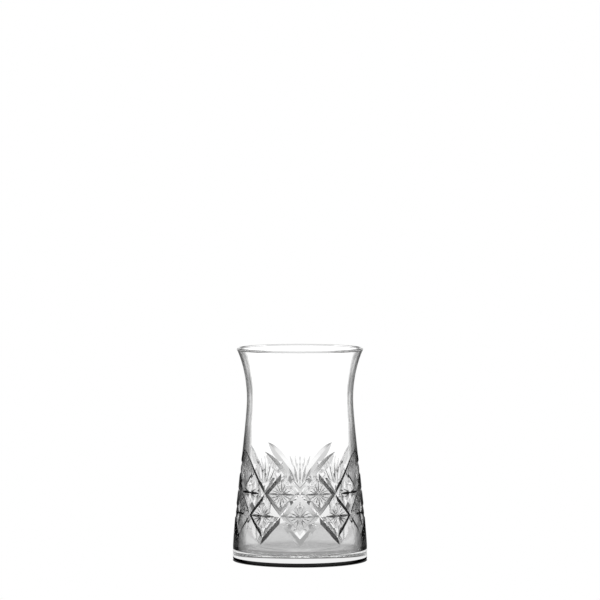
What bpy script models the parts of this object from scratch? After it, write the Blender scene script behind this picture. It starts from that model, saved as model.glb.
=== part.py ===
"""Turkish tea glass: one piece of clear glass, a waisted beaker with a cut diamond lattice.

The lower half carries ten repeats of the lattice. Two families of mitre grooves cross each
other all the way round, a star is cut in every diamond, and a fan of leaves stands in every
open V along the upper edge. Metres, +Z up, origin at the middle of the foot.
"""

import math

import bmesh
import bpy
import numpy as np
from mathutils import Vector
from mathutils.geometry import interpolate_bezier

# The outline of the outer wall, from the rim down to the foot
HEIGHT = 0.0940
LIP_ROUND = 0.0008
RIM_RADIUS = 0.0280
RIM_FLARE = 0.58
WAIST_RADIUS = 0.0235
WAIST_HEIGHT = 0.0713
HIP_RADIUS = 0.0297
HIP_HEIGHT = 0.0063
HIP_SLOPE = 0.04
FOOT_HEIGHT = 0.0010
FOOT_WIDTH = 0.0012

# Lengths of the curve handles, which set how quickly the wall turns
RIM_HANDLE = 0.0027
WAIST_HANDLE = 0.0104
HIP_HANDLE = 0.0146

# The cavity
WALL_THIN = 0.0018
WALL_THICK = 0.0034
THIN_FROM = 0.060
THICK_BELOW = 0.012
FLOOR_HEIGHT = 0.0045
FLOOR_FILLET = 0.0020

# How finely the turned body is stepped
AROUND = 60
WALL_STEPS_ABOVE = 6
WALL_STEPS_BELOW = 8
WALL_MEASURES = 60
LIP_STEPS = 4
FOOT_STEPS = 3
FILLET_STEPS = 4
CAVITY_STEPS = 7

# The diamond lattice: nodes of one row stand a repeat apart, the next row half a repeat on
REPEATS = 10
FRONT = -math.pi / 2
LOWEST_NODE = 0.0121
ROW_RISE = 0.00964
STAR_ROW = LOWEST_NODE + ROW_RISE
V_ROW = LOWEST_NODE + 2 * ROW_RISE
BAND_HALF_WIDTH = 0.0022
BAND_DEPTH = 0.0011
BAND_STEPS = 7

# In each half turn the long bands come first, and lean a little more towards their tops
LONG_SHARE = 3
LONG_TOP = 0.0498
LONG_TAPER = 0.0060
SHORT_TOP = 0.0422
SHORT_TAPER = 0.0030
LEAN_FROM = 0.0410
LEAN_OVER = 0.0090
LEAN = math.radians(3.5)

# Below the lowest row two bands meet in a mitre, and run this far past it into each other
MITRE = 0.0036
MITRE_OVERLAP = 0.00003

# Of two cuts that cross, the second is this much deeper, so that their keels pass clear
CROSSING_STEP = 0.00004

# The stars in the diamonds: the slant from upright, the reach, and a share of the full depth
STAR_DEPTH = 0.0005
STAR_HALF_WIDTH = 0.0008
STAR_CUTS = (
    (90, 0.0070, 1.0),
    (0, 0.0072, 0.92),
    (-38, 0.0050, 0.84),
    (38, 0.0050, 0.76),
)

# The fans of leaves in the open Vs
FAN_DEPTH = 0.00036
FAN_HALF_WIDTH = 0.0006
FAN_START = 0.0056
FAN_LENGTH = 0.0076
FAN_ANGLES = (-34, -17, 0, 17, 34)
LEAF_SHARES = (-1.0, -0.5, 0.0, 0.5, 1.0)

LIFT = 0.0006
RUN_OUT = 0.0001
SLOPE_REACH = 0.0005
CREASE_ANGLE = math.radians(18)
GLASS_COLOUR = (0.93, 0.95, 0.95, 1.0)
GLASS_IOR = 1.52


def clear_scene():
    for obj in list(bpy.data.objects):
        bpy.data.objects.remove(obj, do_unlink=True)


def collection(name):
    made = bpy.data.collections.new(name)
    bpy.context.scene.collection.children.link(made)
    return made


def arc(centre_x, centre_z, width, height, start, end, steps):
    """Points (x, z) along an upright ellipse, both ends included, angles in degrees from +X."""
    turns = [math.radians(start + (end - start) * i / steps) for i in range(steps + 1)]
    return [(centre_x + width * math.cos(t), centre_z + height * math.sin(t)) for t in turns]


def bezier(start, start_handle, end_handle, end, steps):
    points = interpolate_bezier(
        Vector(start), Vector(start_handle), Vector(end_handle), Vector(end), steps + 1
    )
    return [(p[0], p[1]) for p in points]


def outer_wall(above, below):
    """The outer wall (radius, height) from under the lip to the hip, through the waist."""
    lip_base = HEIGHT - LIP_ROUND
    rim = (RIM_RADIUS, lip_base)
    rim_handle = (RIM_RADIUS - RIM_FLARE * RIM_HANDLE, lip_base - RIM_HANDLE)
    waist = (WAIST_RADIUS, WAIST_HEIGHT)
    waist_above = (WAIST_RADIUS, WAIST_HEIGHT + WAIST_HANDLE)
    waist_below = (WAIST_RADIUS, WAIST_HEIGHT - WAIST_HANDLE)
    hip = (HIP_RADIUS, HIP_HEIGHT)
    hip_handle = (HIP_RADIUS - HIP_SLOPE * HIP_HANDLE, HIP_HEIGHT + HIP_HANDLE)
    upper = bezier(rim, rim_handle, waist_above, waist, above)
    lower = bezier(waist, waist_below, hip_handle, hip, below)
    return upper + lower[1:]


WALL_FROM_BELOW = outer_wall(WALL_MEASURES, 2 * WALL_MEASURES)[::-1]
WALL_RADII = [radius for radius, height in WALL_FROM_BELOW]
WALL_HEIGHTS = [height for radius, height in WALL_FROM_BELOW]


def wall_radius(height):
    """The outer radius at a height, between the hip and the rim."""
    return float(np.interp(height, WALL_HEIGHTS, WALL_RADII))


def wall_thickness(height):
    share = (height - THICK_BELOW) / (THIN_FROM - THICK_BELOW)
    share = min(max(share, 0.0), 1.0)
    return WALL_THICK + (WALL_THIN - WALL_THICK) * share


def cavity_outline():
    """The inside (radius, height) from the middle of the cavity's floor up to the lip."""
    fillet = FLOOR_FILLET
    corner_height = FLOOR_HEIGHT + fillet
    corner_radius = wall_radius(corner_height) - wall_thickness(corner_height)
    corner = arc(corner_radius - fillet, corner_height, fillet, fillet, -90, 0, FILLET_STEPS)
    top = HEIGHT - LIP_ROUND
    wall = []
    for i in range(1, CAVITY_STEPS):
        height = corner_height + (top - corner_height) * i / CAVITY_STEPS
        wall.append((wall_radius(height) - wall_thickness(height), height))
    return [(0.0, FLOOR_HEIGHT)] + corner + wall


def body_outline():
    """The whole profile, which ends with the outer side running down to the foot."""
    lip_middle = RIM_RADIUS - LIP_ROUND
    lip = arc(lip_middle, HEIGHT - LIP_ROUND, LIP_ROUND, LIP_ROUND, 180, 0, LIP_STEPS)
    wall = outer_wall(WALL_STEPS_ABOVE, WALL_STEPS_BELOW)
    foot = arc(HIP_RADIUS - FOOT_WIDTH, FOOT_HEIGHT, FOOT_WIDTH, FOOT_HEIGHT, 0, -90, FOOT_STEPS)
    return cavity_outline() + lip + wall[1:] + foot + [(0.0, 0.0)]


def turned_body():
    """The plain blank, before cutting: the outline turned about the axis.

    It starts half a step aside, so that no edge of the blank lies along an upright cut.
    """
    outline = body_outline()
    mesh = bpy.data.meshes.new("glass")
    aside = math.pi / AROUND
    points = [(r * math.cos(aside), r * math.sin(aside), z) for r, z in outline]
    mesh.from_pydata(points, [(i, i + 1) for i in range(len(points) - 1)], [])
    glass = bpy.data.objects.new("glass", mesh)
    screw = glass.modifiers.new("turned", "SCREW")
    screw.steps = AROUND
    screw.render_steps = AROUND
    screw.use_merge_vertices = True
    screw.merge_threshold = 0.00001
    return glass


def on_wall(angle, height):
    """The point of the outer wall at an angle round the axis, and the way it faces."""
    radius = wall_radius(height)
    rise = wall_radius(height + SLOPE_REACH) - wall_radius(height - SLOPE_REACH)
    outward = Vector((math.cos(angle), math.sin(angle), -rise / (2 * SLOPE_REACH)))
    point = Vector((radius * math.cos(angle), radius * math.sin(angle), height))
    return point, outward.normalized()


def mitred(corners, point, along, mitre):
    """A wedge's first end, moved along its run until it lies in the upright plane at mitre."""
    across = Vector((-math.sin(mitre), math.cos(mitre), 0.0))
    facing = along.dot(across)
    past = MITRE_OVERLAP / abs(facing)
    return [corner - along * (corner.dot(across) / facing + past) for corner in corners]


def v_cutter(name, route, depths, spread, cutters, mitre=None):
    """A V-shaped cutter that follows a route (angle, height) on the wall.

    Its keel runs at depths below the wall, and spread is its half width for each unit of depth.
    """
    places = [on_wall(angle, height) for angle, height in route]
    shape = bmesh.new()
    rings = []
    for i, (point, outward) in enumerate(places):
        before = places[max(i - 1, 0)][0]
        after = places[min(i + 1, len(places) - 1)][0]
        sideways = outward.cross(after - before).normalized()
        reach = (depths[i] + LIFT) * spread
        top = point + outward * LIFT
        corners = [top + sideways * reach, top - sideways * reach, point - outward * depths[i]]
        if i == 0 and mitre is not None:
            corners = mitred(corners, point, (after - point).normalized(), mitre)
        rings.append([shape.verts.new(corner) for corner in corners])
    for ring, following in zip(rings, rings[1:]):
        for side in range(3):
            other = (side + 1) % 3
            shape.faces.new((ring[side], ring[other], following[other], following[side]))
    shape.faces.new(rings[0])
    shape.faces.new(rings[-1])
    bmesh.ops.triangulate(shape, faces=shape.faces)
    bmesh.ops.recalc_face_normals(shape, faces=shape.faces)
    mesh = bpy.data.meshes.new(name)
    shape.to_mesh(mesh)
    shape.free()
    cutter = bpy.data.objects.new(name, mesh)
    cutter.hide_render = True
    cutter.display_type = "WIRE"
    cutters.objects.link(cutter)


def band(name, turn, way, is_long, cutters):
    """One mitre groove, which climbs from the lowest row of nodes to the lattice's edge.

    It passes the V row at the angle turn, and leans the way that way's sign says.
    """
    top = LONG_TOP if is_long else SHORT_TOP
    taper = LONG_TAPER if is_long else SHORT_TAPER
    depth = BAND_DEPTH if way > 0 else BAND_DEPTH + CROSSING_STEP
    pitch = math.pi / REPEATS / ROW_RISE
    rows = np.linspace(LOWEST_NODE + MITRE, top - taper, BAND_STEPS)
    heights = [LOWEST_NODE, *rows, top - taper / 2, top]
    shares = [1.0] * (BAND_STEPS + 1) + [0.75]
    route = []
    for height in heights:
        leaning = LEAN * max((height - LEAN_FROM) / LEAN_OVER, 0.0) ** 2
        route.append((turn + way * ((height - V_ROW) * pitch + leaning), height))
    depths = [depth * share for share in shares] + [-RUN_OUT]
    foot = turn + way * (LOWEST_NODE - V_ROW) * pitch
    v_cutter(name, route, depths, BAND_HALF_WIDTH / BAND_DEPTH, cutters, mitre=foot)


def leaf(name, middle, slant, reach, spread, depth, cutters):
    """A short cut that is deepest in its middle and runs out to a point at both ends.

    Middle is (angle, height), and slant is in degrees from upright.
    """
    angle, height = middle
    radius = wall_radius(height)
    across = math.sin(math.radians(slant)) / radius
    up = math.cos(math.radians(slant))
    route = [(angle + share * reach * across, height + share * reach * up) for share in LEAF_SHARES]
    depths = [depth * (1 - share**2) for share in LEAF_SHARES]
    depths[0] = -RUN_OUT
    depths[-1] = -RUN_OUT
    v_cutter(name, route, depths, spread, cutters)


def star(name, angle, height, cutters):
    """Leaves that cross in the middle of a diamond, each a share of the deepest one."""
    for slant, reach, share in STAR_CUTS:
        spread = STAR_HALF_WIDTH / STAR_DEPTH
        leaf(f"{name}_{slant}", (angle, height), slant, reach, spread, STAR_DEPTH * share, cutters)


def fan(name, angle, node_height, cutters):
    """Leaves that spread from the foot of an open V at the lattice's upper edge."""
    radius = wall_radius(node_height)
    away = FAN_START + FAN_LENGTH / 2
    spread = FAN_HALF_WIDTH / FAN_DEPTH
    for slant in FAN_ANGLES:
        turn = away * math.sin(math.radians(slant)) / radius
        middle = (angle + turn, node_height + away * math.cos(math.radians(slant)))
        leaf(f"{name}_{slant}", middle, slant, FAN_LENGTH / 2, spread, FAN_DEPTH, cutters)


def cut_lattice(cutters):
    repeat = 2 * math.pi / REPEATS
    for i in range(REPEATS):
        turn = i * repeat
        is_long = i % (REPEATS // 2) < LONG_SHARE
        band(f"band_right_{i}", FRONT + turn, 1, is_long, cutters)
        band(f"band_left_{i}", FRONT - turn, -1, is_long, cutters)
        star(f"lower_star_{i}", FRONT + turn, STAR_ROW, cutters)
        star(f"upper_star_{i}", FRONT + turn + repeat / 2, V_ROW, cutters)
        fan(f"fan_{i}", FRONT + turn, V_ROW, cutters)


def clear_glass():
    material = bpy.data.materials.new("clear_glass")
    material.use_nodes = True
    shader = material.node_tree.nodes["Principled BSDF"]
    shader.inputs["Base Color"].default_value = GLASS_COLOUR
    shader.inputs["Roughness"].default_value = 0.0
    shader.inputs["IOR"].default_value = GLASS_IOR
    shader.inputs["Transmission Weight"].default_value = 1.0
    shader.inputs["Metallic"].default_value = 0.0
    return material


def cut_glass(parts, cutters):
    """The blank with every cutter taken out of it at once."""
    glass = turned_body()
    parts.objects.link(glass)
    cut = glass.modifiers.new("cut", "BOOLEAN")
    cut.operation = "DIFFERENCE"
    cut.solver = "EXACT"
    cut.operand_type = "COLLECTION"
    cut.collection = cutters
    bpy.context.view_layer.update()
    evaluated = glass.evaluated_get(bpy.context.evaluated_depsgraph_get())
    finished = bpy.data.meshes.new_from_object(evaluated)
    glass.modifiers.clear()
    glass.data = finished
    finished.materials.append(clear_glass())
    finished.shade_smooth()
    finished.set_sharp_from_angle(angle=CREASE_ANGLE)
    return glass


def main():
    clear_scene()
    parts = collection("turkish_tea_glass")
    cutters = collection("cutters")
    cut_lattice(cutters)
    glass = cut_glass(parts, cutters)
    print(f"{glass.name}: {len(glass.data.polygons)} faces")


main()
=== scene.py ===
# %% [markdown]
# A Turkish tea glass, pressed from one piece of clear glass and cut with a diamond lattice.
#
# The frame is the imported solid: it says where the glass stands and how big it is. This file
# makes the glass that is seen, with the same outline and the same lattice, far more finely
# stepped, and with a smooth polished surface between the cuts. Nothing in it moves or resizes
# the frame.

import math

import bmesh
import bpy
import numpy as np
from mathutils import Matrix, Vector
from mathutils.geometry import interpolate_bezier


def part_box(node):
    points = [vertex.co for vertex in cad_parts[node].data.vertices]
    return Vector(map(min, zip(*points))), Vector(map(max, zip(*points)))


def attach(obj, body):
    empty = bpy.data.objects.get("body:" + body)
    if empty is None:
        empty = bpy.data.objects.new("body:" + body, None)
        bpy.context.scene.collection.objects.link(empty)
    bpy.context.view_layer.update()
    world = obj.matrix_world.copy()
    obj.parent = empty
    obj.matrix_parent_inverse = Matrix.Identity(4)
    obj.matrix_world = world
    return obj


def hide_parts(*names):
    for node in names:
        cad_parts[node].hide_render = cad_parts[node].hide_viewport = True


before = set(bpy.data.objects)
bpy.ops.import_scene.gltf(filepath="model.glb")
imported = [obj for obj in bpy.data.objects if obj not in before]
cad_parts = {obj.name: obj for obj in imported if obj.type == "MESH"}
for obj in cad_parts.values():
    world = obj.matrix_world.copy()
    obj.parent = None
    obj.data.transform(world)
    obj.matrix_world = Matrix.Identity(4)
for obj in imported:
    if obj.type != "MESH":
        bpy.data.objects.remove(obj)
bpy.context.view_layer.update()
glass_low, glass_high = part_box("glass")
MM = 0.001
HEIGHT = glass_high.z - glass_low.z
FRONT = -math.pi / 2
FULL_TURN = 2 * math.pi
print(f"the frame's glass is {HEIGHT / MM:.1f} mm high")


# %% [markdown]
# The camera stands well back with a long lens and looks down by a few degrees, as a product
# photographer would set it: the rim shows as a thin ellipse, and the two sides of the glass
# keep their true shape. It aims above the glass, which leaves the upper half of the picture
# empty.

# %% The camera
CAMERA_DISTANCE = 1.58
CAMERA_HEIGHT = 0.188
AIM_HEIGHT = 0.115
LENS = 215.0

camera_data = bpy.data.cameras.new("camera")
camera_data.lens = LENS
camera_data.sensor_width = 36.0
camera_data.clip_end = 20.0
camera = bpy.data.objects.new("camera", camera_data)
camera.location = (0.0, -CAMERA_DISTANCE, CAMERA_HEIGHT)
aim = Vector((0.0, 0.0, AIM_HEIGHT)) - camera.location
camera.rotation_euler = aim.to_track_quat("-Z", "Y").to_euler()
bpy.context.scene.collection.objects.link(camera)
bpy.context.scene.camera = camera
print(f"camera {math.degrees(math.atan2(-aim.z, aim.y)):.1f} degrees above level")


# %% [markdown]
# The glass is a body of revolution: one outline, turned once round. The outer wall is two
# smooth curves that meet at the waist, where the glass is narrowest. Below the hip it stands
# upright and ends in a small rounded foot. Two heights on that upright part have no shape of
# their own: they mark where the painted shade of the base changes.

# %% The outline of the outer wall
LIP_ROUND = 0.8 * MM
RIM_RADIUS = 28.0 * MM
RIM_FLARE = 0.58
WAIST_RADIUS = 23.5 * MM
WAIST_HEIGHT = 71.3 * MM
HIP_RADIUS = 29.7 * MM
HIP_HEIGHT = 6.3 * MM
HIP_SLOPE = 0.04
CLEAR_BASE_TOP = 5.2 * MM
FOOT_LINE_TOP = 1.7 * MM
FOOT_HEIGHT = 1.0 * MM
FOOT_WIDTH = 1.2 * MM

# Lengths of the curve handles, which set how quickly the wall turns
RIM_HANDLE = 2.7 * MM
WAIST_HANDLE = 10.4 * MM
HIP_HANDLE = 14.6 * MM

STEPS_ABOVE_WAIST = 28
STEPS_BELOW_WAIST = 64
MEASURES_ABOVE_WAIST = 120
MEASURES_BELOW_WAIST = 240
SLOPE_REACH = 0.4 * MM


def bezier(start, start_handle, end_handle, end, steps):
    corners = [Vector(p) for p in (start, start_handle, end_handle, end)]
    return [(p[0], p[1]) for p in interpolate_bezier(*corners, steps + 1)]


def outer_wall(above, below):
    """The outer wall (radius, height) from under the lip to the hip."""
    lip_base = HEIGHT - LIP_ROUND
    rim_handle = (RIM_RADIUS - RIM_FLARE * RIM_HANDLE, lip_base - RIM_HANDLE)
    waist = (WAIST_RADIUS, WAIST_HEIGHT)
    waist_above = (WAIST_RADIUS, WAIST_HEIGHT + WAIST_HANDLE)
    waist_below = (WAIST_RADIUS, WAIST_HEIGHT - WAIST_HANDLE)
    hip_handle = (HIP_RADIUS - HIP_SLOPE * HIP_HANDLE, HIP_HEIGHT + HIP_HANDLE)
    upper = bezier((RIM_RADIUS, lip_base), rim_handle, waist_above, waist, above)
    lower = bezier(waist, waist_below, hip_handle, (HIP_RADIUS, HIP_HEIGHT), below)
    return upper + lower[1:]


wall_from_below = np.array(outer_wall(MEASURES_ABOVE_WAIST, MEASURES_BELOW_WAIST)[::-1])


def wall_radius(height):
    return np.interp(height, wall_from_below[:, 1], wall_from_below[:, 0])


def wall_slope(height):
    """How fast the outer radius grows with height."""
    above, below = wall_radius(height + SLOPE_REACH), wall_radius(height - SLOPE_REACH)
    return (above - below) / (2 * SLOPE_REACH)


print(f"waist {2 * WAIST_RADIUS / MM:.1f} mm, hip {2 * HIP_RADIUS / MM:.1f} mm across")


# %% [markdown]
# The inner wall follows the outer one at the thickness of the glass, which is thin under the
# lip and thick towards the heavy base. A small fillet leads it into the flat floor of the
# cavity. That fillet is what draws the dark arc in the base of the real glass; here the arc is
# painted shade on the fillet's faces.

# %% The cavity and the blank
WALL_THIN = 1.8 * MM
WALL_THICK = 3.4 * MM
THIN_FROM = 60.0 * MM
THICK_BELOW = 12.0 * MM
FLOOR_HEIGHT = 4.5 * MM
FLOOR_FILLET = 2.0 * MM
FLOOR_SHARES = (0.0, 0.2, 0.4, 0.6)
LIP_BLEND = 8.0 * MM

AROUND = 180
CAVITY_STEPS = 48
ROUND_STEPS = 16
FOOT_STEPS = 12
WELD = 0.01 * MM


def wall_thickness(height):
    return np.interp(height, [THICK_BELOW, THIN_FROM], [WALL_THICK, WALL_THIN])


def arc(centre, height, radius, start, end):
    """Points (radius, height) along an arc, angles in degrees from outwards."""
    turns = np.radians(np.linspace(start, end, ROUND_STEPS + 1))
    return [(centre + radius * math.cos(t), height + radius * math.sin(t)) for t in turns]


def cavity_outline():
    """The inside, from the middle of the cavity's floor up to the lip."""
    corner_height = FLOOR_HEIGHT + FLOOR_FILLET
    corner_radius = float(wall_radius(corner_height) - wall_thickness(corner_height))
    fillet = arc(corner_radius - FLOOR_FILLET, corner_height, FLOOR_FILLET, -90, 0)
    floor = [(corner_radius * share, FLOOR_HEIGHT) for share in FLOOR_SHARES]
    top = HEIGHT - LIP_ROUND
    wall = []
    for height in np.linspace(corner_height, top, CAVITY_STEPS + 1)[1:-1]:
        inside = wall_radius(height) - wall_thickness(height)
        blend = min(max((height - top + LIP_BLEND) / LIP_BLEND, 0.0), 1.0)
        lip_inside = wall_radius(height) - 2 * LIP_ROUND
        wall.append((float(inside + (lip_inside - inside) * blend), float(height)))
    return floor + fillet + wall


def body_outline():
    """The whole profile: the cavity, the lip, and the outer side down to the foot."""
    lip = arc(RIM_RADIUS - LIP_ROUND, HEIGHT - LIP_ROUND, LIP_ROUND, 180, 0)
    wall = outer_wall(STEPS_ABOVE_WAIST, STEPS_BELOW_WAIST)
    base = [(HIP_RADIUS, CLEAR_BASE_TOP), (HIP_RADIUS, FOOT_LINE_TOP)]
    foot = [
        (HIP_RADIUS - FOOT_WIDTH * (1 - math.cos(turn)), FOOT_HEIGHT * (1 - math.sin(turn)))
        for turn in np.radians(np.linspace(0, 90, FOOT_STEPS + 1))
    ]
    middle = [(HIP_RADIUS / 2, 0.0), (0.0, 0.0)]
    return cavity_outline() + lip + wall[1:] + base + foot + middle


def turned_blank():
    """The outline with a Screw modifier, half a step aside so that no edge lies along a cut."""
    aside = math.pi / AROUND
    points = [(r * math.cos(aside), r * math.sin(aside), z) for r, z in body_outline()]
    mesh = bpy.data.meshes.new("blank")
    mesh.from_pydata(points, [(i, i + 1) for i in range(len(points) - 1)], [])
    blank = bpy.data.objects.new("blank", mesh)
    bpy.context.scene.collection.objects.link(blank)
    screw = blank.modifiers.new("turned", "SCREW")
    screw.steps = AROUND
    screw.render_steps = AROUND
    screw.use_merge_vertices = True
    screw.merge_threshold = WELD
    return blank


blank = turned_blank()
print(f"outline of {len(blank.data.vertices)} points, turned in {AROUND} steps")


# %% [markdown]
# Each cut is the path of a wheel with a V-shaped edge. It is modelled as a wedge that follows
# the wall: its keel lies below the surface by the depth of the cut, and where the depth runs
# out to nothing the cut ends in a point, as a real one does. Two grooves that meet low on the
# glass end in a mitre, so the end of a wedge can be moved into an upright plane.

# %% One V cut
LIFT = 0.5 * MM
MITRE_OVERLAP = 0.03 * MM
RUN_OUT = 0.02 * MM


def on_wall(angle, height):
    """The point of the outer wall at an angle round the axis, and the way it faces."""
    radius = float(wall_radius(height))
    point = Vector((radius * math.cos(angle), radius * math.sin(angle), height))
    outward = Vector((math.cos(angle), math.sin(angle), -float(wall_slope(height))))
    return point, outward.normalized()


def add_cut(shape, route, depths, spread, mitre=None):
    """Adds one wedge to a bmesh: route is (angle, height) along the wall.

    A mitre is the angle of the upright plane in which the wedge's first end lies."""
    places = [on_wall(angle, height) for angle, height in route]
    rings = []
    for i, (point, outward) in enumerate(places):
        before = places[max(i - 1, 0)][0]
        after = places[min(i + 1, len(places) - 1)][0]
        sideways = outward.cross(after - before).normalized()
        reach = sideways * ((depths[i] + LIFT) * spread)
        top = point + outward * LIFT
        corners = [top + reach, top - reach, point - outward * depths[i]]
        if i == 0 and mitre is not None:
            along = (after - point).normalized()
            across = Vector((-math.sin(mitre), math.cos(mitre), 0.0))
            past = MITRE_OVERLAP / abs(along.dot(across))
            corners = [c - along * (c.dot(across) / along.dot(across) + past) for c in corners]
        rings.append([shape.verts.new(corner) for corner in corners])
    faces = [shape.faces.new(rings[0]), shape.faces.new(rings[-1])]
    for ring, following in zip(rings, rings[1:]):
        for side in range(3):
            other = (side + 1) % 3
            corners = (ring[side], ring[other], following[other], following[side])
            faces.append(shape.faces.new(corners))
    made = bmesh.ops.triangulate(shape, faces=faces)
    bmesh.ops.recalc_face_normals(shape, faces=made["faces"])


# %% [markdown]
# The lattice is two families of wide grooves that lean opposite ways and cross in rows. Below
# the lowest row each pair meets in a mitred point, and above the highest row they run on and
# taper out on the plain wall, as the arms of open Vs. Three arms of every five are long and
# two are short, and the long ones lean a little more towards their tips.

# %% The grooves of the lattice
REPEATS = 10
LOWEST_NODE = 12.1 * MM
ROW_RISE = 9.64 * MM
STAR_ROW = LOWEST_NODE + ROW_RISE
V_ROW = LOWEST_NODE + 2 * ROW_RISE
BAND_HALF_WIDTH = 2.2 * MM
BAND_DEPTH = 1.1 * MM
BAND_STEPS = 44
MITRE = 3.6 * MM

# Of two grooves that cross, the second is this much deeper, so that their keels pass clear
CROSSING_STEP = 0.02 * MM

LONG_SHARE = 3
LONG_TOP = 49.8 * MM
LONG_TAPER = 6.0 * MM
SHORT_TOP = 42.2 * MM
SHORT_TAPER = 3.0 * MM
LEAN_FROM = 41.0 * MM
LEAN_OVER = 9.0 * MM
LEAN = math.radians(3.5)


def add_band(shape, way, top, taper):
    """One mitre groove, from the lowest row up through the V row, where its angle is 0."""
    pitch = math.pi / REPEATS / ROW_RISE
    full = BAND_DEPTH + (CROSSING_STEP if way < 0 else 0.0)
    heights = [LOWEST_NODE, *np.linspace(LOWEST_NODE + MITRE, top, BAND_STEPS)]
    route, depths = [], []
    for height in heights:
        leaning = LEAN * max((height - LEAN_FROM) / LEAN_OVER, 0.0) ** 2
        route.append((way * ((height - V_ROW) * pitch + leaning), float(height)))
        from_end = min((top - height) / taper, 1.0)
        depths.append(float(full * (1 - (1 - from_end) ** 2)) - RUN_OUT)
    foot = way * (LOWEST_NODE - V_ROW) * pitch
    add_cut(shape, route, depths, BAND_HALF_WIDTH / BAND_DEPTH, mitre=foot)


# %% [markdown]
# Every diamond holds a star of eight crossing cuts, the level one the longest, and every open
# V holds a fan of seven leaves. All of them are short cuts with pointed ends.

# %% The stars and the fan
STAR_DEPTH = 0.62 * MM
STAR_HALF_WIDTH = 0.8 * MM

# The slant from upright in degrees, the reach, and a share of the full depth
STAR_CUTS = (
    (90, 7.0 * MM, 1.0),
    (0, 7.2 * MM, 0.74),
    (-22, 5.6 * MM, 0.7),
    (22, 5.6 * MM, 0.69),
    (-45, 4.9 * MM, 0.66),
    (45, 4.9 * MM, 0.65),
    (-68, 5.3 * MM, 0.62),
    (68, 5.3 * MM, 0.61),
)
FAN_DEPTH = 0.45 * MM
FAN_HALF_WIDTH = 0.6 * MM
FAN_START = 4.8 * MM
FAN_LENGTH = 8.4 * MM
FAN_ANGLES = (-36, -24, -12, 0, 12, 24, 36)
LEAF_POINTS = 13


def add_leaf(shape, angle, height, slant, reach, depth, spread):
    """A short cut with pointed ends: slant is in degrees from upright."""
    radius = float(wall_radius(height))
    across, up = math.sin(math.radians(slant)), math.cos(math.radians(slant))
    route, depths = [], []
    for share in np.linspace(-1, 1, LEAF_POINTS):
        route.append((angle + share * reach * across / radius, height + share * reach * up))
        depths.append(float(depth * (1 - share**2)) - RUN_OUT)
    add_cut(shape, route, depths, spread)


def add_star(shape, angle, height):
    for slant, reach, share in STAR_CUTS:
        spread = STAR_HALF_WIDTH / STAR_DEPTH
        add_leaf(shape, angle, height, slant, reach, STAR_DEPTH * share, spread)


def add_fan(shape, node_height):
    radius = float(wall_radius(node_height))
    away = FAN_START + FAN_LENGTH / 2
    for slant in FAN_ANGLES:
        across, up = math.sin(math.radians(slant)), math.cos(math.radians(slant))
        middle = (away * across / radius, node_height + away * up)
        add_leaf(shape, *middle, slant, FAN_LENGTH / 2, FAN_DEPTH, FAN_HALF_WIDTH / FAN_DEPTH)


# %% The cutters of one repeat
def cutter_object(name, shape):
    mesh = bpy.data.meshes.new(name)
    shape.to_mesh(mesh)
    shape.free()
    cutter = bpy.data.objects.new(name, mesh)
    bpy.context.scene.collection.objects.link(cutter)
    print(f"{name}: {len(mesh.polygons)} wedge faces")
    return cutter


def band_cutter(name, way, top, taper):
    shape = bmesh.new()
    add_band(shape, way, top, taper)
    return cutter_object(name, shape)


def stars_and_fan():
    shape = bmesh.new()
    add_star(shape, 0.0, STAR_ROW)
    add_star(shape, math.pi / REPEATS, V_ROW)
    add_fan(shape, V_ROW)
    return cutter_object("stars_and_fan", shape)


cutters = {
    "Stars and fan": stars_and_fan(),
    "Right long": band_cutter("right_long", 1, LONG_TOP, LONG_TAPER),
    "Right short": band_cutter("right_short", 1, SHORT_TOP, SHORT_TAPER),
    "Left long": band_cutter("left_long", -1, LONG_TOP, LONG_TAPER),
    "Left short": band_cutter("left_short", -1, SHORT_TOP, SHORT_TAPER),
}


# %% [markdown]
# Geometry Nodes carry the cutters round the axis and take them all out of the blank at once,
# which is what a cutter does by turning the glass a tenth of a turn after each repeat. The
# same rule tells the long arms from the short ones: of the five grooves in each half turn,
# the first three are long.

# %% One small function for nodes
def add_node(tree, kind, settings=None, inputs=None, stops=()):
    """A node with its settings, a link or a value for each input, and a ramp's grey stops."""
    node = tree.nodes.new(kind)
    for name, value in (settings or {}).items():
        setattr(node, name, value)
    for name, value in (inputs or {}).items():
        if isinstance(value, bpy.types.NodeSocket):
            tree.links.new(value, node.inputs[name])
        else:
            node.inputs[name].default_value = value
    for i, (place, level) in enumerate(stops):
        elements = node.color_ramp.elements
        stop = elements[i] if i < 2 else elements.new(place)
        stop.position = place
        stop.color = (level, level, level, 1.0)
    return node


# %% The tree that cuts the lattice
HALFWAY = 0.5


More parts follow.
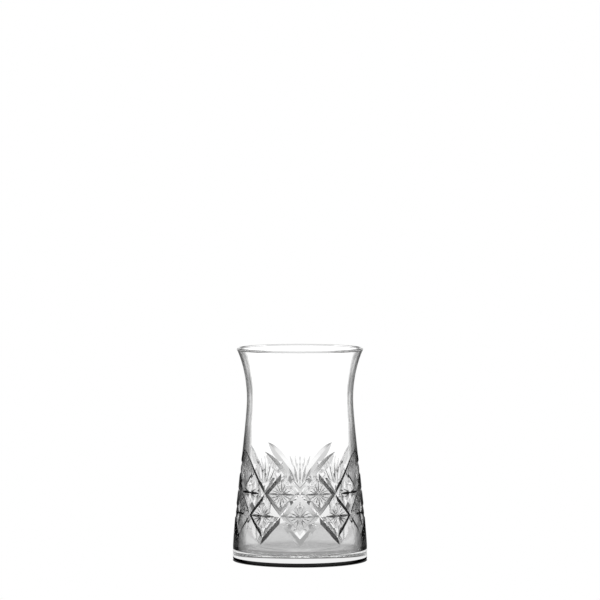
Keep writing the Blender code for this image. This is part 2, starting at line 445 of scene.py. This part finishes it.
def ring_of(tree, given, name, way, chosen=None):
    """The cuts of one kind, turned round the axis: way is 1 or -1, the sense of the turn."""
    repeats = given["Repeats"]
    line = {"Count": repeats, "Offset": (0.0, 0.0, 0.0)}
    points = add_node(tree, "GeometryNodeMeshLine", inputs=line)
    index = add_node(tree, "GeometryNodeInputIndex").outputs[0]
    share = add_node(tree, "ShaderNodeMath", {"operation": "DIVIDE"}, {0: index, 1: repeats})
    turned = {0: share.outputs[0], 1: way * FULL_TURN, 2: given["Front angle"]}
    turn = add_node(tree, "ShaderNodeMath", {"operation": "MULTIPLY_ADD"}, turned)
    about_axis = add_node(tree, "ShaderNodeCombineXYZ", inputs={"Z": turn.outputs[0]})
    shape = add_node(tree, "GeometryNodeObjectInfo", inputs={"Object": given[name]})
    placed = {
        "Points": points.outputs[0],
        "Instance": shape.outputs["Geometry"],
        "Rotation": about_axis.outputs[0],
    }
    if chosen is not None:
        half = add_node(tree, "ShaderNodeMath", {"operation": "DIVIDE"}, {0: repeats, 1: 2.0})
        within = {0: index, 1: half.outputs[0]}
        place = add_node(tree, "ShaderNodeMath", {"operation": "MODULO"}, within)
        last = {0: given["Long in a half turn"], 1: HALFWAY}
        limit = add_node(tree, "ShaderNodeMath", {"operation": "SUBTRACT"}, last)
        compared = {0: place.outputs[0], 1: limit.outputs[0]}
        placed["Selection"] = add_node(
            tree, "ShaderNodeMath", {"operation": chosen}, compared
        ).outputs[0]
    return add_node(tree, "GeometryNodeInstanceOnPoints", inputs=placed).outputs[0]


def lattice_tree():
    """The tree, and the identifier of each of its inputs by name."""
    tree = bpy.data.node_groups.new("cut_lattice", "GeometryNodeTree")
    kinds = {"Geometry": "NodeSocketGeometry", "Repeats": "NodeSocketInt"}
    kinds.update({"Long in a half turn": "NodeSocketInt", "Front angle": "NodeSocketFloat"})
    kinds.update({name: "NodeSocketObject" for name in cutters})
    kinds["Glass"] = "NodeSocketMaterial"
    names = {}
    for name, kind in kinds.items():
        socket = tree.interface.new_socket(name=name, in_out="INPUT", socket_type=kind)
        names[name] = socket.identifier
    tree.interface.new_socket(name="Geometry", in_out="OUTPUT", socket_type="NodeSocketGeometry")

    given = add_node(tree, "NodeGroupInput").outputs
    together = add_node(tree, "GeometryNodeJoinGeometry")
    rings = (
        ring_of(tree, given, "Stars and fan", 1),
        ring_of(tree, given, "Right long", 1, "LESS_THAN"),
        ring_of(tree, given, "Right short", 1, "GREATER_THAN"),
        ring_of(tree, given, "Left long", -1, "LESS_THAN"),
        ring_of(tree, given, "Left short", -1, "GREATER_THAN"),
    )
    for ring in rings:
        tree.links.new(ring, together.inputs[0])

    # The wedges are made real and split into single ones, so that each is a cutter by itself
    wedges = add_node(tree, "GeometryNodeRealizeInstances", inputs={0: together.outputs[0]})
    island = add_node(tree, "GeometryNodeInputMeshIsland")
    split = {0: wedges.outputs[0], "Group ID": island.outputs[0]}
    apart = add_node(tree, "GeometryNodeSplitToInstances", {"domain": "FACE"}, split)
    cut = add_node(
        tree,
        "GeometryNodeMeshBoolean",
        {"operation": "DIFFERENCE", "solver": "MANIFOLD"},
        {"Mesh 1": given["Geometry"], "Mesh 2": apart.outputs[0]},
    )
    real = add_node(tree, "GeometryNodeRealizeInstances", inputs={0: cut.outputs[0]})
    dressing = {"Geometry": real.outputs[0], "Material": given["Glass"]}
    dressed = add_node(tree, "GeometryNodeSetMaterial", inputs=dressing)
    add_node(tree, "NodeGroupOutput", inputs={0: dressed.outputs[0]})
    return tree, names


# %% [markdown]
# The glass is clear soda-lime glass, pressed and fire-polished: index 1.52, no roughness that
# the eye can see, and no colour at this thickness. What draws a clear glass on a white ground
# is its edges. A surface that turns away from the eye mirrors the dark room instead of
# showing the ground. Here that dark is painted shade: the shader's colour grows dark as the
# surface turns away, which Layer Weight tells it.
#
# Four values on each face say how much: how soon the painted edge shade comes, a painted
# shade of its own for the foot and for the wall between the cuts, the painted shade of the
# fillet as it is met from inside the glass, and the gloss of the lip.

# %% The glass
GLASS_COLOUR = "FFFFFF"
PAINTED_SHADE_COLOUR = "2E2E2E"
GLASS_IOR = 1.52
# How dark the painted edge shade grows as the surface turns away from the eye
EDGE_DARKNESS = (
    (0.47, 0.0),
    (0.53, 0.10),
    (0.59, 0.28),
    (0.63, 0.43),
    (0.68, 0.62),
    (0.79, 0.75),
    (0.88, 0.90),
)


def linear(hex_colour):
    """An sRGB hex colour as linear red, green, blue and alpha."""
    parts = [int(hex_colour[i : i + 2], 16) / 255 for i in (0, 2, 4)]
    lit = [p / 12.92 if p <= 0.04045 else ((p + 0.055) / 1.055) ** 2.4 for p in parts]
    return (*lit, 1.0)


def clear_glass():
    """Fire-polished soda-lime glass: the ground shows through it, and painted shade darkens its edges.
    """
    material = bpy.data.materials.new("fire_polished_soda_lime_glass")
    material.use_nodes = True
    tree = material.node_tree
    values = {
        name: add_node(tree, "ShaderNodeAttribute", {"attribute_name": name}).outputs["Fac"]
        for name in ("edge_sooner", "painted_shade", "fillet_painted_shade", "gloss")
    }
    facing = add_node(tree, "ShaderNodeLayerWeight", inputs={"Blend": 0.5})
    turned = {0: facing.outputs["Facing"], 1: values["edge_sooner"]}
    turned_away = add_node(tree, "ShaderNodeMath", {"operation": "ADD"}, turned)
    dark = add_node(tree, "ShaderNodeValToRGB", inputs={0: turned_away.outputs[0]}, stops=EDGE_DARKNESS)
    either = {0: dark.outputs[0], 1: values["painted_shade"]}
    from_air = add_node(tree, "ShaderNodeMath", {"operation": "MAXIMUM"}, either)
    side = add_node(tree, "ShaderNodeNewGeometry")
    # Met from inside the glass, a face shows the painted shade of the fillet instead
    sides = {0: side.outputs["Backfacing"], 2: from_air.outputs[0], 3: values["fillet_painted_shade"]}
    edge = add_node(tree, "ShaderNodeMix", inputs=sides)
    colours = {0: edge.outputs[0], 6: linear(GLASS_COLOUR), 7: linear(PAINTED_SHADE_COLOUR)}
    colour = add_node(tree, "ShaderNodeMix", {"data_type": "RGBA"}, colours)

    shader = tree.nodes["Principled BSDF"]
    tree.links.new(colour.outputs[2], shader.inputs["Base Color"])
    # The painted shade also makes the glass metallic, so that it shows less of the ground
    tree.links.new(edge.outputs[0], shader.inputs["Metallic"])
    tree.links.new(values["gloss"], shader.inputs["Specular Tint"])
    shader.inputs["Roughness"].default_value = 0.0
    shader.inputs["IOR"].default_value = GLASS_IOR
    shader.inputs["Transmission Weight"].default_value = 1.0
    return material


glass_material = clear_glass()


# %% Cut the glass
def cut_glass():
    tree, names = lattice_tree()
    cutting = blank.modifiers.new("cut_lattice", "NODES")
    cutting.node_group = tree
    cutting[names["Repeats"]] = REPEATS
    cutting[names["Long in a half turn"]] = LONG_SHARE
    cutting[names["Front angle"]] = FRONT
    for name, cutter in cutters.items():
        cutting[names[name]] = cutter
    cutting[names["Glass"]] = glass_material
    bpy.context.view_layer.update()
    evaluated = blank.evaluated_get(bpy.context.evaluated_depsgraph_get())
    mesh = bpy.data.meshes.new_from_object(evaluated)
    for spent in (blank, *cutters.values()):
        bpy.data.objects.remove(spent)
    piece = bpy.data.objects.new("cut_glass", mesh)
    bpy.context.scene.collection.objects.link(piece)
    return piece


glass = cut_glass()
print(f"cut glass: {len(glass.data.polygons)} faces, {len(glass.data.vertices)} points")


# %% [markdown]
# The cuts keep their sharp edges, and the turned surfaces between them are one smooth sweep.
# The many small faces that cutting leaves on the wall would show as smudges, so each of their
# corners takes the direction that the turned surface faces there.

# %% Smooth the turned surface
CREASE = math.radians(20)
TOUCH = 0.012 * MM
OUTSIDE_LOW = 0.99 * FOOT_LINE_TOP
OUTSIDE_HIGH = HEIGHT - LIP_ROUND


def point_array(mesh):
    """All the points of a mesh, and their distances from the axis."""
    points = np.zeros(len(mesh.vertices) * 3)
    mesh.vertices.foreach_get("co", points)
    points = points.reshape(-1, 3)
    return points, np.hypot(points[:, 0], points[:, 1])


def faces_within(mesh, chosen):
    """The numbers of the faces whose corners are all among the chosen points."""
    return [face.index for face in mesh.polygons if all(chosen[v] for v in face.vertices)]


def smooth_wall(mesh):
    """Turns the corners on the outer wall the way that the turned surface faces."""
    mesh.shade_smooth()
    mesh.set_sharp_from_angle(angle=CREASE)
    points, radius = point_array(mesh)
    on_outside = np.abs(radius - wall_radius(points[:, 2])) < TOUCH
    on_outside &= (points[:, 2] > OUTSIDE_LOW) & (points[:, 2] < OUTSIDE_HIGH)
    outside = faces_within(mesh, on_outside)
    normals = [corner.vector[:] for corner in mesh.corner_normals]
    for index in outside:
        for i in mesh.polygons[index].loop_indices:
            x, y, z = points[mesh.loops[i].vertex_index]
            outward = Vector((x, y, 0.0)).normalized()
            outward.z = -float(wall_slope(z))
            normals[i] = tuple(outward.normalized())
    mesh.normals_split_custom_set(normals)
    print(f"{len(outside)} faces of the outer wall follow the turned surface")
    return outside


outside_faces = smooth_wall(glass.data)


# %% [markdown]
# Now each face gets its four values. The painted edge shade comes soonest on the facets of
# the cuts, and later on the inside of the glass than on the outside. The clear base stays
# free of painted edge shade down to the foot, where a dark line is painted. The wall between
# the cuts gets a painted grey shade, since it shows less of the bright ground behind it than
# the bright facets do.

# %% The shade of each face
CUT_SOONER = 0.39
INSIDE_LATER = 0.15
CAVITY_FLOOR_LATER = 0.30
LIP_LATER = 0.5
LIP_TOP_TILT = 0.85
FILLET_TILT = 0.95
# How dark the painted shade on the fillet is
FILLET_PAINTED_SHADE = 0.6
# How dark the painted line along the foot is
FOOT_PAINTED_SHADE = 1.0

# On the wall: how soon the painted edge shade comes at each height, and the painted grey between the
# cuts
WALL_HEIGHTS = (5.0 * MM, 5.4 * MM, 45.0 * MM, 60.0 * MM, 72.0 * MM, 80.0 * MM, 92.0 * MM)
WALL_SOONER = (-0.4, 0.26, 0.14, 0.0, -0.02, -0.06, -0.05)
GROUND_HEIGHTS = (6.0 * MM, 9.0 * MM, 18.0 * MM, 22.0 * MM, 36.0 * MM, 46.0 * MM)
GROUND_PAINTED_SHADE = (0.30, 0.50, 0.44, 0.30, 0.18, 0.0)

# Where each part of the glass ends, with a little to spare
CUT_REACH = 1.2 * BAND_DEPTH
LIP_LOW = HEIGHT - 1.1 * LIP_ROUND
FOOT_TOP = 1.01 * FOOT_LINE_TOP
FOOT_INSIDE = HIP_RADIUS - 1.1 * FOOT_WIDTH
CAVITY_FLOOR_TOP = FLOOR_HEIGHT + 1.01 * FLOOR_FILLET


def shade_faces(mesh, outside):
    """Writes the four values of the glass material on every face."""
    points, radius = point_array(mesh)
    height = points[:, 2]
    on_lip = faces_within(mesh, height > LIP_LOW)
    on_cuts = faces_within(mesh, radius > wall_radius(height) - CUT_REACH)
    on_floor = faces_within(mesh, height < CAVITY_FLOOR_TOP)
    on_foot = faces_within(mesh, (height < FOOT_TOP) & (radius > FOOT_INSIDE))
    sooner = np.full(len(mesh.polygons), -INSIDE_LATER)
    painted_shade, fillet_painted_shade, gloss = np.zeros((3, len(mesh.polygons)))
    faces = mesh.polygons
    for index in set(on_floor) - set(on_cuts):
        sooner[index] = -CAVITY_FLOOR_LATER
        if faces[index].normal.z < FILLET_TILT and faces[index].center.z > FLOOR_HEIGHT:
            # The fillet's dark arc is painted shade
            fillet_painted_shade[index] = FILLET_PAINTED_SHADE
    sooner[on_cuts] = CUT_SOONER
    for index in on_lip:
        sooner[index] = -LIP_LATER if faces[index].normal.z > LIP_TOP_TILT else 0.0
    gloss[on_lip] = 1.0
    # The dark line along the foot is painted shade
    painted_shade[on_foot] = FOOT_PAINTED_SHADE
    for index in outside:
        middle = faces[index].center.z
        sooner[index] = np.interp(middle, WALL_HEIGHTS, WALL_SOONER)
        # The wall between the cuts gets a painted grey shade
        if middle > CLEAR_BASE_TOP:
            painted_shade[index] = np.interp(middle, GROUND_HEIGHTS, GROUND_PAINTED_SHADE)
    shades = {"edge_sooner": sooner, "painted_shade": painted_shade, "fillet_painted_shade": fillet_painted_shade, "gloss": gloss}
    for name, values in shades.items():
        mesh.attributes.new(name, "FLOAT", "FACE").data.foreach_set("value", values)
    print(f"{len(on_cuts) - len(outside)} faces of the cuts, {len(on_lip)} of the lip")


shade_faces(glass.data, outside_faces)


# %% Give the glass its place in the frame
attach(glass, "root")
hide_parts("glass")


# %% [markdown]
# The glass stands on a plain pale floor, in soft light from all round. The floor glows by
# itself, so it is white in the picture with no shadow but a thin painted one under the foot.
# What the glass shows of the floor is painted: dimmer close by than far off, and brighter
# towards four light panels that are painted into the glow. That range of painted greys is
# what gives the facets their contrast.

# %% The floor
FLOOR_RADIUS = 3.0
FLOOR_DROP = 0.1 * MM
FLOOR_SIDES = 96
# What the glass sees of the floor: painted shade, dimmer close by than far off
FLOOR_SHADES = (
    (0.0, 0.53),
    (0.03, 0.53),
    (0.04, 0.88),
    (0.09, 0.88),
    (0.13, 0.66),
    (0.22, 0.68),
    (0.30, 1.0),
    (0.42, 1.15),
    (0.55, 1.3),
)

# Painted light of panels round the table: how bright from a gap to a panel, and how far out it shows
PANELS = 4
PANEL_EDGES = ((0.0, 0.45), (0.12, 0.46), (0.28, 0.60), (0.587, 0.75), (0.80, 1.0))
PANELS_ON_FLOOR = ((0.0, 0.0), (0.30, 0.0), (0.45, 1.0), (0.60, 1.0), (0.78, 0.35))

# The contact shadow painted on the floor under the foot
SHADOW_INSIDE = 29.5 * MM
SHADOW_OUTSIDE = 29.9 * MM
SHADOW_LEVEL = 0.03


def painted_panel_light(tree, parts):
    """Painted light: bright towards each light panel round the table, dimmer in the gaps between them.
    """
    flat = {0: parts.outputs["X"], 1: parts.outputs["Y"]}
    angle = add_node(tree, "ShaderNodeMath", {"operation": "ARCTAN2"}, flat)
    often = {0: angle.outputs[0], 1: PANELS}
    turns = add_node(tree, "ShaderNodeMath", {"operation": "MULTIPLY"}, often)
    wave = add_node(tree, "ShaderNodeMath", {"operation": "COSINE"}, {0: turns.outputs[0]})
    lifted = {"Value": wave.outputs[0], "From Min": -1.0}
    level = add_node(tree, "ShaderNodeMapRange", inputs=lifted)
    return add_node(tree, "ShaderNodeValToRGB", inputs={0: level.outputs[0]}, stops=PANEL_EDGES)


def floor_glow():
    """A glowing board: white to the camera, in painted soft greys and painted panel light to the glass.
    """
    material = bpy.data.materials.new("pale_floor")
    material.use_nodes = True
    tree = material.node_tree
    tree.nodes.remove(tree.nodes["Principled BSDF"])
    place = add_node(tree, "ShaderNodeTexCoord").outputs["Object"]
    away = add_node(tree, "ShaderNodeVectorMath", {"operation": "LENGTH"}, {0: place})
    distance = away.outputs["Value"]
    parts = add_node(tree, "ShaderNodeSeparateXYZ", inputs={0: place})
    panels = painted_panel_light(tree, parts)
    reach = add_node(tree, "ShaderNodeValToRGB", inputs={0: distance}, stops=PANELS_ON_FLOOR)
    evening = {0: reach.outputs[0], 2: 1.0, 3: panels.outputs[0]}
    evened = add_node(tree, "ShaderNodeMix", inputs=evening)
    shade = add_node(tree, "ShaderNodeValToRGB", inputs={0: distance}, stops=FLOOR_SHADES)
    both = {0: shade.outputs[0], 1: evened.outputs[0]}
    lit = add_node(tree, "ShaderNodeMath", {"operation": "MULTIPLY"}, both)
    # The painted contact shadow, which only the camera sees
    ring = {"Value": distance, "From Min": SHADOW_INSIDE, "From Max": SHADOW_OUTSIDE}
    ring["To Min"] = SHADOW_LEVEL
    shadow = add_node(tree, "ShaderNodeMapRange", inputs=ring)
    direct = add_node(tree, "ShaderNodeLightPath").outputs["Is Camera Ray"]
    views = {0: direct, 6: lit.outputs[0], 7: shadow.outputs[0]}
    seen = add_node(tree, "ShaderNodeMix", {"data_type": "RGBA"}, views)
    glow = add_node(tree, "ShaderNodeEmission", inputs={"Color": seen.outputs[2]})
    tree.links.new(glow.outputs[0], tree.nodes["Material Output"].inputs["Surface"])
    return material


def pale_floor():
    mesh = bpy.data.meshes.new("floor")
    shape = bmesh.new()
    bmesh.ops.create_circle(shape, cap_ends=True, segments=FLOOR_SIDES, radius=FLOOR_RADIUS)
    shape.to_mesh(mesh)
    shape.free()
    mesh.materials.append(floor_glow())
    floor = bpy.data.objects.new("floor", mesh)
    floor.location.z = -FLOOR_DROP
    bpy.context.scene.collection.objects.link(floor)
    return floor


floor = pale_floor()
# The light panels are painted light in the floor's glow
print(f"floor {2 * FLOOR_RADIUS:.0f} m across, {PANELS} light panels round it")


# %% [markdown]
# The sky that the glass mirrors is bright at the horizon, dark above it, and bright again
# overhead, like a room with a lit back wall and a lamp in the ceiling. The camera itself sees
# plain white. Light is caught in the rounded lip and leaves it only after many turns, so the
# paths may be long: with short ones the rim would show a black line.

# %% The light
SKY_SHADES = (
    (0.50, 1.0),
    (0.535, 1.0),
    (0.55, 0.88),
    (0.575, 0.88),
    (0.60, 0.35),
    (0.64, 0.03),
    (0.90, 0.03),
    (0.95, 1.5),
)
WHITE = "FFFFFF"
BOUNCES = 64


def soft_world():
    world = bpy.data.worlds.new("soft_light")
    world.use_nodes = True
    tree = world.node_tree
    place = add_node(tree, "ShaderNodeTexCoord").outputs["Generated"]
    parts = add_node(tree, "ShaderNodeSeparateXYZ", inputs={0: place})
    lifted = {"Value": parts.outputs["Z"], "From Min": -1.0}
    height = add_node(tree, "ShaderNodeMapRange", inputs=lifted)
    shade = add_node(tree, "ShaderNodeValToRGB", inputs={0: height.outputs[0]}, stops=SKY_SHADES)
    direct = add_node(tree, "ShaderNodeLightPath").outputs["Is Camera Ray"]
    views = {0: direct, 6: shade.outputs[0], 7: linear(WHITE)}
    seen = add_node(tree, "ShaderNodeMix", {"data_type": "RGBA"}, views)
    tree.links.new(seen.outputs[2], tree.nodes["Background"].inputs["Color"])
    return world


bpy.context.scene.world = soft_world()
bpy.context.scene.view_settings.view_transform = "Standard"
bpy.context.scene.cycles.max_bounces = BOUNCES
bpy.context.scene.cycles.transmission_bounces = BOUNCES
bpy.context.scene.cycles.glossy_bounces = BOUNCES
bpy.context.scene.cycles.use_denoising = True
